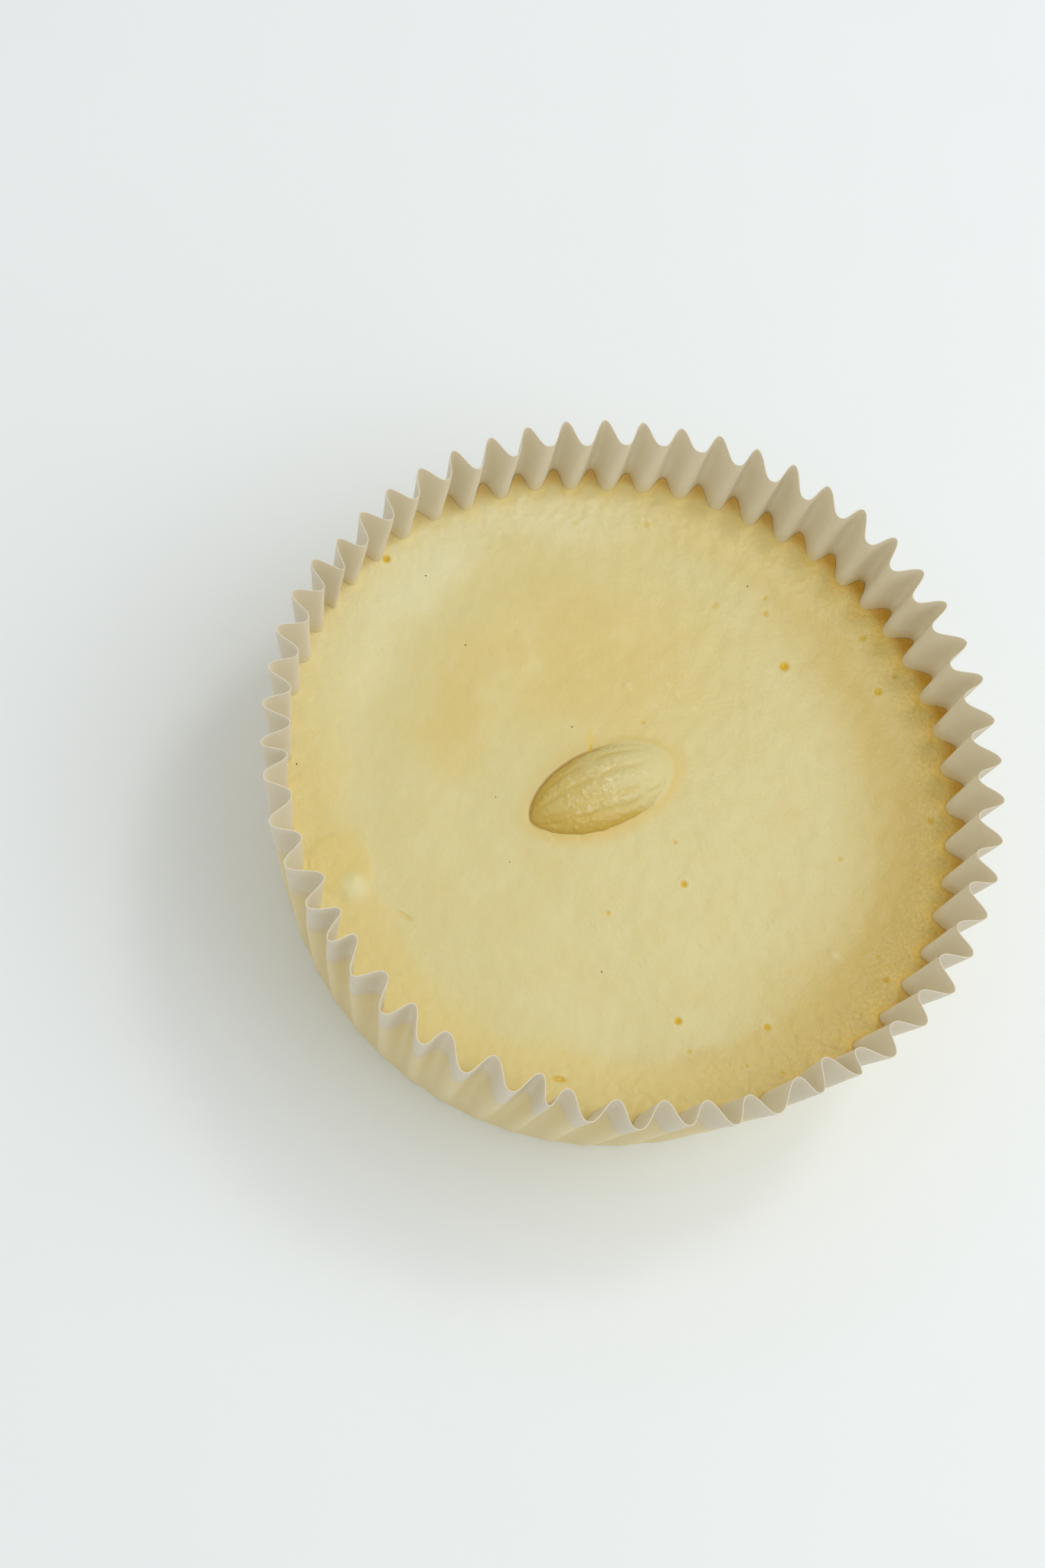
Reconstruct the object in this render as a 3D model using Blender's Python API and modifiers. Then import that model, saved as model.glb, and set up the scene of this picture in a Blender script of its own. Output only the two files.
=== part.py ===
"""White chocolate terrine set in its pleated paper case, with a small cocoa pod of white
chocolate half sunk in the middle of the top.

Metres, +Z up. The origin is the middle of the case's underside, so the case stands on Z = 0.
The case's wall is one flat sheet gathered into pleats: it keeps its length round every row, and
that gives the depth of the folds at each height."""

import math

import bmesh
import bpy
from mathutils import Matrix, Vector

# Driving dimensions
CASE_HEIGHT = 0.042
BASE_RADIUS = 0.0518  # flat floor, out to the crease where the pleats begin
FLARE = math.radians(8.4)  # how far the wall leans outwards
PLEATS = 55
FIRST_FOLD = math.radians(4.6)  # angle of one outer fold
GATHER = 0.050  # radians by which the folds crowd towards GATHER_SIDE
GATHER_SIDE = math.radians(68.0)
PAPER = 0.0004
GAP = 0.0003  # between touching pieces

FILL_LEVEL = 0.0290  # top of the terrine where it meets the wall
FOLD_CLIMB = 0.0004  # how much higher it stands inside the folds
BAND_RADIUS = 0.0520  # inner edge of the band that rises to the wall
SLOPE_RADIUS = 0.0430
FLAT_RADIUS = 0.0280  # the middle is flat out to here
BAND_DROP = 0.0004  # the dished top at each of these radii, below FILL_LEVEL
SLOPE_DROP = 0.0011
FLAT_DROP = 0.0014

POD_LENGTH = 0.0286
POD_WIDTH = 0.0140
POD_HEIGHT = 0.0047  # from its flat back to the crest
POD_SINK = 0.0014  # of its back, under the terrine's middle
POD_TILT = math.radians(2.7)  # its far end dips into the terrine
POD_CENTRE = (-0.0026, -0.0015)
POD_TURN = math.radians(58.1)
RIDGE_PITCH = math.radians(28.8)  # one ridge and one groove across the pod
GROOVE_DEPTH = 0.00035

# How finely the shapes are cut: phases round one pleat, and rows up the wall
OUTER_ROUND = 22.0  # degrees of pleat phase that round an outer fold, each side
INNER_ROUND = 30.0
PHASES = (0.0, OUTER_ROUND, 180.0 - INNER_ROUND, 180.0, 180.0 + INNER_ROUND, 360.0 - OUTER_ROUND)
CORNER_LOSS = 1.0 / 3.0  # share of a fold's sharp corner that its rounding takes off
LOW_ROW = 0.003  # slant heights of the two rows between the crease and the fill level
MIDDLE_ROW = 0.012
POD_STEPS_ALONG = 18
POD_STEPS_ACROSS = 26
POD_TAPER = 0.60  # exponent of the pod's outline: 0.5 is an ellipse, more is more pointed
SHARP_EDGE = math.radians(35.0)  # edges that bend more than this are shaded as creases
WELD = 0.00002  # points closer than this become one

SECTIONS = len(PHASES) * PLEATS
RIM_SLANT = CASE_HEIGHT / math.cos(FLARE)
FILL_SLANT = FILL_LEVEL / math.cos(FLARE)


def clear_scene():
    for obj in list(bpy.data.objects):
        bpy.data.objects.remove(obj, do_unlink=True)


def new_collection(name):
    collection = bpy.data.collections.new(name)
    bpy.context.scene.collection.children.link(collection)
    return collection


def new_material(name, colour, roughness):
    """A dielectric surface of one colour, given as linear red, green and blue."""
    material = bpy.data.materials.new(name)
    material.use_nodes = True
    shader = material.node_tree.nodes["Principled BSDF"]
    shader.inputs["Base Color"].default_value = (*colour, 1.0)
    shader.inputs["Roughness"].default_value = roughness
    shader.inputs["Metallic"].default_value = 0.0
    return material


def new_object(name, bm, collection, material=None):
    """Turns a bmesh into a smooth-shaded object whose folds stay sharp. Its lowest face looks
    down, which also settles which side of an open sheet is the outer one."""
    mesh = bpy.data.meshes.new(name)
    bmesh.ops.recalc_face_normals(bm, faces=bm.faces[:])
    lowest = min(bm.faces, key=lambda face: face.calc_center_median().z)
    if lowest.normal.z > 0.0:
        bmesh.ops.reverse_faces(bm, faces=bm.faces[:])
    bm.to_mesh(mesh)
    bm.free()
    mesh.shade_smooth()
    mesh.set_sharp_from_angle(angle=SHARP_EDGE)
    obj = bpy.data.objects.new(name, mesh)
    if material:
        mesh.materials.append(material)
    collection.objects.link(obj)
    return obj


# The pleated wall


def mean_radius(slant):
    return BASE_RADIUS + slant * math.sin(FLARE)


def fold_depth(slant):
    """Outer fold to inner fold. Half a pleat of the flat sheet is the sloping side of a
    triangle whose base is half a pleat of the gathered wall."""
    flat = math.pi * (BASE_RADIUS + slant) / PLEATS
    gathered = math.pi * mean_radius(slant) / PLEATS
    return math.sqrt(max(flat * flat - gathered * gathered, 0.0))


def fold_angle(phase):
    """The direction of a pleat phase, which grows by 360 degrees a pleat."""
    even = FIRST_FOLD + math.radians(phase) / PLEATS
    return even + GATHER * math.cos(even - GATHER_SIDE)


def fold_wave(phase):
    """1 at a sharp outer fold and -1 at a sharp inner one, straight between them. The rounding
    of each keeps it a little short of that."""
    place = phase % 360.0
    place = min(place, 360.0 - place)
    straight = 1.0 - place / 90.0
    outer = max(0.0, OUTER_ROUND - place) / 90.0
    inner = max(0.0, INNER_ROUND - (180.0 - place)) / 90.0
    return straight - CORNER_LOSS * (outer - inner)


def wall_inset(slant, distance):
    """How far along the radius a surface moves to lie this distance inside the wall."""
    slope = fold_depth(slant) * PLEATS / (math.pi * mean_radius(slant))
    return distance * math.sqrt(1.0 + slope * slope)


def wall_point(phase, slant, height, distance=0.0):
    """A point of the wall's outer face, or of a surface that lies inside it."""
    radius = mean_radius(slant) + 0.5 * fold_depth(slant) * fold_wave(phase)
    radius -= wall_inset(slant, distance)
    angle = fold_angle(phase)
    return Vector((radius * math.cos(angle), radius * math.sin(angle), height))


def pleat_phase(index):
    """The phase of one of the points round a row."""
    pleat, place = divmod(index, len(PHASES))
    return 360.0 * pleat + PHASES[place]


def stacked_rows(rows, close_top):
    """A tube of that many rows of points on a round floor, one unit apart in height. Each
    point is then moved by the number of its row and its number round the row."""
    bm = bmesh.new()
    bmesh.ops.create_circle(bm, cap_ends=True, segments=SECTIONS, radius=1.0)
    edges = bm.edges[:]
    for _ in range(rows - 1):
        made = bmesh.ops.extrude_edge_only(bm, edges=edges)["geom"]
        points = [item for item in made if isinstance(item, bmesh.types.BMVert)]
        edges = [
            item
            for item in made
            if isinstance(item, bmesh.types.BMEdge) and all(vert in points for vert in item.verts)
        ]
        bmesh.ops.translate(bm, verts=points, vec=(0.0, 0.0, 1.0))
    if close_top:
        bmesh.ops.contextual_create(bm, geom=edges)
    return bm


def place_rows(bm, place):
    for vert in bm.verts:
        row = round(vert.co.z)
        turn_from_y = math.atan2(-vert.co.x, vert.co.y)
        index = round(turn_from_y / math.tau * SECTIONS) % SECTIONS
        vert.co = place(row, pleat_phase(index))


# The pieces


def make_paper_case(collection, material):
    """One pleated sheet with a flat floor. Solidify gives the paper its thickness inwards."""
    slants = (0.0, LOW_ROW, MIDDLE_ROW, FILL_SLANT, RIM_SLANT)
    bm = stacked_rows(len(slants), close_top=False)
    place_rows(bm, lambda row, phase: wall_point(phase, slants[row], slants[row] * math.cos(FLARE)))
    case = new_object("paper_case", bm, collection, material)
    thickness = case.modifiers.new("thickness", "SOLIDIFY")
    thickness.thickness = PAPER
    thickness.offset = -1.0
    thickness.use_even_offset = True
    return case


def make_terrine(collection, material):
    """The set cream: it fills the folds of the case, and its top is slightly dished."""
    clear = PAPER + GAP
    foot = (mean_radius(clear) - fold_depth(LOW_ROW) / 2.0 - clear, clear)
    slants = (LOW_ROW, MIDDLE_ROW, FILL_SLANT)
    dished = (
        (BAND_RADIUS, FILL_LEVEL - BAND_DROP),
        (SLOPE_RADIUS, FILL_LEVEL - SLOPE_DROP),
        (FLAT_RADIUS, FILL_LEVEL - FLAT_DROP),
    )

    def place(row, phase):
        if 1 <= row <= len(slants):
            slant = slants[row - 1]
            climb = FOLD_CLIMB * max(fold_wave(phase), 0.0) if slant == FILL_SLANT else 0.0
            return wall_point(phase, slant, slant * math.cos(FLARE) + climb, clear)
        radius, height = dished[row - len(slants) - 1] if row else foot
        angle = fold_angle(phase)
        return Vector((radius * math.cos(angle), radius * math.sin(angle), height))

    bm = stacked_rows(1 + len(slants) + len(dished), close_top=True)
    place_rows(bm, place)
    return new_object("terrine", bm, collection, material)


def pod_outline(along):
    """The pod's width at -1 to 1 along it, as a share of its greatest width."""
    return max(1.0 - along * along, 0.0) ** POD_TAPER


def pod_surface(along, across, extra, groove):
    """A point of the pod's upper side, with its flat back at height 0. across is the angle
    from one edge of the back over the crest to the other."""
    width = pod_outline(along) * (POD_WIDTH / 2.0 + extra)
    height = pod_outline(along) * (POD_HEIGHT + extra)
    ridge = 0.5 - 0.5 * math.cos(math.tau * (across - math.pi / 2.0) / RIDGE_PITCH)
    cut = groove * ridge * pod_outline(along) * math.sin(across)
    return Vector(
        (
            along * (POD_LENGTH / 2.0 + extra),
            -math.cos(across) * (width - cut),
            math.sin(across) * (height - cut),
        )
    )


def pod_mesh(extra, groove, back):
    """The pod as a sheet bent over its crest, then closed underneath. back is how far its
    flat back is pushed down."""
    bm = bmesh.new()
    bmesh.ops.create_grid(
        bm, x_segments=POD_STEPS_ALONG, y_segments=POD_STEPS_ACROSS, size=1.0
    )
    for vert in bm.verts:
        along = math.sin(vert.co.x * math.pi / 2.0)
        across = (vert.co.y + 1.0) * math.pi / 2.0
        vert.co = pod_surface(along, across, extra, groove)
    bmesh.ops.remove_doubles(bm, verts=bm.verts[:], dist=WELD)
    rim = [edge for edge in bm.edges if edge.is_boundary]
    if back:
        made = bmesh.ops.extrude_edge_only(bm, edges=rim)["geom"]
        points = [item for item in made if isinstance(item, bmesh.types.BMVert)]
        bmesh.ops.translate(bm, verts=points, vec=(0.0, 0.0, -back))
        rim = [edge for edge in bm.edges if edge.is_boundary]
    bmesh.ops.contextual_create(bm, geom=rim)
    return bm


def pod_place():
    """Turned in plan, tilted along its length and let into the terrine's flat middle."""
    level = FILL_LEVEL - FLAT_DROP - POD_SINK
    return (
        Matrix.Translation((*POD_CENTRE, level))
        @ Matrix.Rotation(POD_TURN, 4, "Z")
        @ Matrix.Rotation(POD_TILT, 4, "Y")
    )


def make_cocoa_pod(collection, material):
    pod = new_object("cocoa_pod", pod_mesh(0.0, GROOVE_DEPTH, 0.0), collection, material)
    pod.matrix_world = pod_place()
    return pod


def make_pod_socket(collection):
    """The hollow that the pod lies in, clear of it by the gap."""
    socket = new_object("pod_socket", pod_mesh(GAP, 0.0, GAP), collection)
    socket.matrix_world = pod_place()
    socket.hide_render = True
    socket.display_type = "WIRE"
    return socket


def cut(obj, cutter):
    boolean = obj.modifiers.new("cut_" + cutter.name, "BOOLEAN")
    boolean.operation = "DIFFERENCE"
    boolean.solver = "EXACT"
    boolean.object = cutter


def main():
    clear_scene()
    parts = new_collection("white_chocolate_terrine")
    cutters = new_collection("cutters")
    cream = new_material("cream", (0.74, 0.65, 0.36), 0.45)
    paper = new_material("baking_paper", (0.72, 0.66, 0.52), 0.60)
    chocolate = new_material("white_chocolate", (0.72, 0.68, 0.42), 0.30)
    make_paper_case(parts, paper)
    terrine = make_terrine(parts, cream)
    make_cocoa_pod(parts, chocolate)
    cut(terrine, make_pod_socket(cutters))


main()
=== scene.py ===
# %% [markdown]
# # A white chocolate terrine in its pleated paper case
#
# The object is a round of set white chocolate cream, about 12 cm across. The cream was poured warm into a
# pleated case of baking paper. It ran out into every fold, sank a little in the middle as it cooled, and set.
# A small cocoa pod of white chocolate was laid on it while it was still soft, so the pod lies half sunk.
#
# The order is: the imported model, the camera, the paper case, the pod, the cream with the pod's hollow in it,
# the vanilla specks, then the finishes, the floor and the light. Lengths are in metres, and `MM` keeps them
# readable.

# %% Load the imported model
import math
import random

import bmesh
import bpy
from mathutils import Matrix, Vector, noise
from mathutils.bvhtree import BVHTree
from mathutils.kdtree import KDTree


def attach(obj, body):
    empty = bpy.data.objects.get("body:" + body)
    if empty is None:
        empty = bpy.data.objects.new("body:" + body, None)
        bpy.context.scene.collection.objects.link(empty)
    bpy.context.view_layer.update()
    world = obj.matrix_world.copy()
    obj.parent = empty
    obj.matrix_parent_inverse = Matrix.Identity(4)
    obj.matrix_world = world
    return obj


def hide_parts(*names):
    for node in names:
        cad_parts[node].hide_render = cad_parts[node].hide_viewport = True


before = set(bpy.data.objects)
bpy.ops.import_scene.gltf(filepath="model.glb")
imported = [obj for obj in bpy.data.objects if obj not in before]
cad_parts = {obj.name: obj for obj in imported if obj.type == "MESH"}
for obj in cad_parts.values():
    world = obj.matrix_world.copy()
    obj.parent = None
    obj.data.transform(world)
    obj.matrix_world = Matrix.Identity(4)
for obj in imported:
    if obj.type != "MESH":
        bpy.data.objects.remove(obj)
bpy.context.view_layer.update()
MM = 0.001
print("packed nodes:", sorted(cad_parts))

# %% [markdown]
# ## The camera
#
# The photograph looks down at the terrine from 64 degrees above the table, with the camera rolled by about 27
# degrees. Its place and lens are worked out from the case's round rim and from how the folds shrink with
# distance, so the render can be laid over the photograph.

# %% Place the camera
bpy.ops.object.camera_add(
    location=(0.0, -0.19437, 0.4341),
    rotation=[math.radians(a) for a in (22.333, -10.751, 28.824)],
)
camera = bpy.context.object
camera.data.lens = 63.92
camera.data.sensor_width = 36
bpy.context.scene.camera = camera
print("camera at", [round(v, 3) for v in camera.location])

# %% [markdown]
# ## A few habits
#
# An operator works on everything that is selected, so each piece begins with nothing selected. In edit mode
# the parts of a mesh are picked by a test on their place. A soft step is the curve that most blends here
# follow.

# %% Helpers for modelling
def clear_selection():
    """Leaves edit mode and selects nothing."""
    if bpy.context.object and bpy.context.object.mode != "OBJECT":
        bpy.ops.object.mode_set(mode="OBJECT")
    bpy.ops.object.select_all(action="DESELECT")


def open_mesh(piece, kind="EDGE"):
    """Opens a piece in edit mode with nothing picked."""
    bpy.context.view_layer.objects.active = piece
    bpy.ops.object.mode_set(mode="EDIT")
    bpy.ops.mesh.select_mode(type=kind)
    bpy.ops.mesh.select_all(action="DESELECT")


def pick(piece, part, test):
    """Picks the edges or faces of an open mesh that pass a test, and says how many they are."""
    mesh = bmesh.from_edit_mesh(piece.data)
    found = 0
    for item in getattr(mesh, part):
        chosen = test(item)
        item.select_set(chosen)
        found += chosen
    bmesh.update_edit_mesh(piece.data)
    return found


def close_mesh(piece, name, smooth=40):
    """Leaves edit mode, names the piece and shades it smooth up to an angle in degrees."""
    bpy.ops.object.mode_set(mode="OBJECT")
    piece.name = piece.data.name = name
    bpy.ops.object.select_all(action="DESELECT")
    piece.select_set(True)
    bpy.context.view_layer.objects.active = piece
    bpy.ops.object.shade_smooth_by_angle(angle=math.radians(smooth))
    print(name, len(piece.data.vertices), "vertices,", len(piece.data.polygons), "faces")


def add_marks(piece, *names):
    """Adds numbers that are kept on the mesh's points, for the finishes to read."""
    for name in names:
        piece.data.attributes.new(name, "FLOAT", "POINT")
    return [piece.data.attributes[name].data for name in names]


def soft(value, start, end):
    """A soft step from 0 at start to 1 at end."""
    share = min(max((value - start) / (end - start), 0.0), 1.0)
    return share * share * (3 - 2 * share)


# %% [markdown]
# ## The folded sheet
#
# One flat disc of baking paper becomes the case when it is pressed between two ribbed moulds. The paper can't
# stretch, so the folds are as deep as the spare width asks: none at the floor, and about 4 mm at the rim. The
# outer tips are tighter than the inner ones. On a real case no two folds are the same, so each gets its own
# small shift, and they lean and crowd one way or the other in groups. The table of these groups follows the
# photograph: the fold tips were picked one by one, laid on the case through the camera above, and rounded.

# %% Measures of the folds
FOLDS = 55
FIRST_FOLD = math.radians(4.6)
GATHER, GATHER_SIDE = 0.050, math.radians(68)  # how far the folds crowd towards a side, in radians
BASE_RADIUS = 51.8 * MM
FLARE = math.radians(8.4)
CASE_HEIGHT = 42.0 * MM
RIM_SLANT = CASE_HEIGHT / math.cos(FLARE)
SHEET = 0.11 * MM
BLUNT = 0.045  # how far both tips are flattened
NARROW, NARROW_SWING, NARROW_BELOW = 0.03, 0.05, 0.06  # how much tighter the outer tips are
NARROW_SIDE = math.radians(105)
LOW_SLANT = 27 * MM  # slant height near the cream's level, where `twist` and `fill_out` below hold in full

UNEVEN = (
    (-180, -0.1, 0.3, 0.3, 0.3, 0.6), (-172, -0.3, -0.3, 0.0, 0.7, 0.3), (-160, -0.2, 0.2, 0.0, 0.2, 0.2),
    (-150, -0.7, -0.3, 0.0, 0.1, 0.0), (-143, -1.3, -0.5, 0.0, -0.1, 0.0), (-134, -0.5, 0.0, 0.0, 0.2, 0.0),
    (-122, 0.0, -0.1, 0.0, -0.5, 0.0), (-112, -0.9, -1.4, 0.0, -0.6, 0.0), (-106, -0.8, 0.0, 0.0, 0.0, 0.0),
    (-97, -0.2, -1.0, 0.0, 0.1, 0.0), (-87, 0.7, -0.6, 0.0, 0.0, 0.0), (-80, 0.9, 0.0, 0.0, -1.0, 0.0),
    (-73, -0.7, 0.0, 0.0, 0.2, 0.0), (-66, -0.3, 0.0, 0.0, 0.5, 0.0), (-58, 0.6, -0.3, 0.0, 0.0, 0.0),
    (-46, 0.7, -0.1, -0.3, 0.6, 0.0), (-38, 1.3, 0.3, -0.8, 0.0, 0.0), (-31, 0.7, -0.2, -1.0, -0.6, 0.3),
    (-25, 0.0, -0.6, -1.2, 0.8, 0.5), (-11, 0.3, -0.3, -1.7, 0.7, 0.4), (2, 0.1, 0.1, -1.4, 0.0, 0.0),
    (10, -0.2, 0.4, -1.3, -0.4, -0.5), (23, -0.5, 0.1, -0.6, -0.6, -0.5), (36, -0.5, 0.5, -0.2, -0.4, 0.0),
    (50, -0.1, 0.6, 0.1, -0.2, 0.5), (63, 0.0, 0.2, 0.6, 0.3, 0.9), (75, 0.1, -0.5, -0.2, 0.8, 0.7),
    (87, 0.2, -1.1, 0.0, 0.6, 0.5), (102, 0.1, -0.8, 0.0, 0.2, 0.1), (118, -0.1, -0.1, 0.8, -0.1, -0.6),
    (130, 0.0, 0.2, 0.6, -0.2, 0.1), (142, 0.4, 0.5, 0.5, -0.5, 0.1), (155, 0.9, 0.4, 0.4, -0.4, 0.8),
    (167, 1.0, 0.1, 1.5, -0.5, 0.7), (175, 0.8, 1.0, 0.9, -0.6, 1.1), (180, -0.1, 0.3, 0.3, 0.3, 0.6),
)
# A direction in degrees, then how far the folds there are off: all tips round the case in degrees, the inner
# tips on top of that, the inner tips at the cream's level on top of both, and the wall outwards in millimetres,
# at the rim and at the cream's level.

dice = random.Random(7)
OUTER_OUT = [dice.gauss(0, 0.14) * MM for _ in range(FOLDS)]
INNER_OUT = [dice.gauss(0, 0.22) * MM for _ in range(FOLDS)]
OUTER_TURN = [math.radians(dice.gauss(0, 0.14)) for _ in range(FOLDS)]
INNER_TURN = [math.radians(dice.gauss(0, 0.18)) for _ in range(FOLDS)]


def uneven_at(side):
    """The five numbers of the table above for any direction, with a soft blend between its rows."""
    for (here, *first), (there, *second) in zip(UNEVEN, UNEVEN[1:]):
        if side <= there:
            share = soft(side, here, there)
            return [a + (b - a) * share for a, b in zip(first, second)]
    return UNEVEN[-1][1:]


def fold_depth(slant):
    """How far the folds swing in and out, at a slant height up the wall."""
    paper = math.pi * (BASE_RADIUS + slant) / FOLDS
    room = math.pi * (BASE_RADIUS + slant * math.sin(FLARE)) / FOLDS
    return math.sqrt(paper * paper - room * room)


def sheet_point(phase, slant):
    """The sheet's outer face at a slant height and a phase: 360 degrees to a fold, 0 at its outer tip."""
    turn = math.radians(phase)
    even = FIRST_FOLD + turn / FOLDS
    even += GATHER * math.cos(even - GATHER_SIDE)
    side = (math.degrees(even) + 180) % 360 - 180
    narrow = NARROW + NARROW_SWING * math.cos(even - NARROW_SIDE) + NARROW_BELOW * (1 - slant / RIM_SLANT)
    wave = (math.cos(turn) - BLUNT * math.cos(3 * turn)) / (1 - BLUNT) + narrow * (math.cos(2 * turn) - 1)
    outer, inner = round(phase / 360) % FOLDS, math.floor(phase / 360) % FOLDS
    out_share, in_share = (1 + wave) / 2, (1 - wave) / 2
    grown = (slant / RIM_SLANT) ** 0.7
    radius = BASE_RADIUS + slant * math.sin(FLARE) + fold_depth(slant) * wave / 2
    radius += grown * (out_share * OUTER_OUT[outer] + in_share * INNER_OUT[inner])
    even += grown * (out_share * OUTER_TURN[outer] + in_share * INNER_TURN[inner])
    turned, lean, twist, rim_out, fill_out = uneven_at(side)
    low = soft(slant, RIM_SLANT, LOW_SLANT)
    even += grown * math.radians(turned + in_share * (lean + twist * low))
    radius += grown * (rim_out + (fill_out - rim_out) * low) * MM
    return Vector((radius * math.cos(even), radius * math.sin(even)))


def inside_sheet(phase, slant, depth):
    """The point at a depth inwards of the sheet's outer face, square to it."""
    here = sheet_point(phase, slant)
    run = sheet_point(phase + 4, slant) - sheet_point(phase - 4, slant)
    return here + Vector((-run.y, run.x)).normalized() * depth


print("fold depth at the rim", round(fold_depth(RIM_SLANT) / MM, 2), "mm")

# %% [markdown]
# ## The paper case
#
# What repeats is modelled once: a grid becomes one fold, `spin` sets 55 of them round the axis, and the seams
# are merged. The floor is extruded inwards from the bottom edge. Then every point goes to its place on the
# folded sheet above, which makes the copies differ, and Solidify gives the paper its thickness.

# %% Model the paper case
ROWS = [s * MM for s in (0, 0.5, 1.4, 2.8, 4.8, 7.5, 11, 15, 19, 23, 26, 28.5, 31, 34, 37, 40)] + [RIM_SLANT]
STEPS = 24  # cells across one fold
TINY = 0.1 * MM


def fit_case(piece):
    """Moves every point of the even case to its place on the folded sheet."""
    for vertex in piece.data.vertices:
        angle, radius = math.atan2(vertex.co.y, vertex.co.x), vertex.co.xy.length
        if vertex.co.z < 0.1 * TINY and radius < BASE_RADIUS - TINY:
            continue
        phase = (math.degrees(angle - FIRST_FOLD) * FOLDS) % (360 * FOLDS)
        place = sheet_point(phase, vertex.co.z)
        height = vertex.co.z * math.cos(FLARE)
        uneven = noise.noise(place.to_3d() * 45) * 0.20 + noise.noise(place.to_3d() * 600) * 0.04
        height += uneven * MM * soft(vertex.co.z, 30 * MM, RIM_SLANT)
        vertex.co = (place.x, place.y, min(height, CASE_HEIGHT + 0.05 * MM))


clear_selection()
bpy.ops.mesh.primitive_grid_add(x_subdivisions=STEPS, y_subdivisions=len(ROWS) - 1, size=1)
case = bpy.context.object
for vertex in case.data.vertices:
    turn = FIRST_FOLD + (vertex.co.x + 0.5) * math.tau / FOLDS
    row = ROWS[round((vertex.co.y + 0.5) * (len(ROWS) - 1))]
    vertex.co = (BASE_RADIUS * math.cos(turn), BASE_RADIUS * math.sin(turn), row)
open_mesh(case)
bpy.ops.mesh.select_all(action="SELECT")
round_the_axis = {"center": (0, 0, 0), "axis": (0, 0, 1)}
bpy.ops.mesh.spin(steps=FOLDS - 1, dupli=True, angle=math.tau * (FOLDS - 1) / FOLDS, **round_the_axis)
bpy.ops.mesh.select_all(action="SELECT")
bpy.ops.mesh.remove_doubles(threshold=0.05 * TINY)
pick(case, "edges", lambda e: e.is_boundary and all(v.co.z < TINY for v in e.verts))
for shrink in (0.975, 0.9):
    bpy.ops.mesh.extrude_edges_move()
    bpy.ops.transform.resize(value=(shrink, shrink, 1), center_override=(0, 0, 0))
bpy.ops.mesh.edge_face_add()
bpy.ops.mesh.select_all(action="SELECT")
bpy.ops.mesh.normals_make_consistent(inside=False)
bpy.ops.object.mode_set(mode="OBJECT")
fit_case(case)
lowest = min(case.data.polygons, key=lambda f: f.center.z)
if lowest.normal.z > 0:
    open_mesh(case)
    bpy.ops.mesh.select_all(action="SELECT")
    bpy.ops.mesh.flip_normals()
    bpy.ops.object.mode_set(mode="OBJECT")
thickness = case.modifiers.new("thickness", "SOLIDIFY")
thickness.thickness = SHEET
thickness.offset = -1
thickness.use_even_offset = True
bpy.ops.object.modifier_apply(modifier=thickness.name)
close_mesh(case, "pleated_case")
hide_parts("paper_case")
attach(case, "root")

# %% [markdown]
# ## The cocoa pod
#
# The pod is cast white chocolate, nearly 29 mm long, with five ridges that show between long grooves, and
# small warts on the ridges. A sphere with its poles at the two tips has its meridians along the ridges, so
# the grooves can follow them. The pod's own directions are x along it, y across and z up. It lies turned and
# tilted, so that its far end fades into the cream.

# %% Model the cocoa pod
POD_LENGTH, POD_WIDTH = 28.6 * MM, 14.0 * MM
POD_TOP, POD_BELOW = 4.7 * MM, 3.0 * MM
POD_MIDDLE = Vector((-2.6, -1.5)) * MM
POD_TURN, POD_TILT = math.radians(58.1), math.radians(2.7)
POD_BACK = 26.2 * MM  # height of the widest part of the pod
POD_PLACE = (
    Matrix.Translation((*POD_MIDDLE, POD_BACK))
    @ Matrix.Rotation(POD_TURN, 4, "Z")
    @ Matrix.Rotation(POD_TILT, 4, "Y")
)
NEAR_TAPER, FAR_TAPER = 0.64, 0.54  # exponents of the two ends: 0.5 is an ellipse, more is more pointed
GROOVES = (18, 48, 77, 110, 129, 160, 200, 232, 264, 296, 328)  # degrees round the pod, from its side at +y
GROOVE_WIDE = 5.5  # degrees
GROOVE_DEEP = 0.24 * MM
WART = 0.24 * MM  # height of a large wart
WART_APART = 0.85 * MM
WART_DRIFT = 1.9 * MM  # the length over which their size changes


def groove_at(turn):
    """1 in the middle of a groove and 0 on the ridges, for a turn round the pod in degrees."""
    away = min(abs((turn - g + 180) % 360 - 180) for g in GROOVES)
    return math.exp(-((away / GROOVE_WIDE) ** 2))


def wart_at(place):
    """Rounded warts, about a millimetre apart and uneven."""
    near = noise.voronoi(place / WART_APART)[0][0]
    size = 0.55 + 0.6 * noise.noise(place / WART_DRIFT)
    return max(size, 0.0) * max(0.0, 1 - (near / 0.6) ** 2) ** 1.5


def golden_at(far, across, height):
    """How golden the pod's foot is: most at the near end and on its lower side."""
    lower, upper = soft(-across, -0.1, 0.6), soft(across, 0.35, 0.85)
    reach = 0.9 + (1.9 + 1.6 * soft(-far, -0.2, 0.5)) * lower + 2.0 * soft(-far, 0.35, 0.95)
    reach += 2.2 * upper * soft(-far, -0.2, 0.4)
    near_half = 1 - soft(far - 0.12 * soft(-across, 0, 0.6), -0.2, 0.4)
    return (1 - soft(height / MM - 27.6, 0.0, reach)) * near_half


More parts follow.
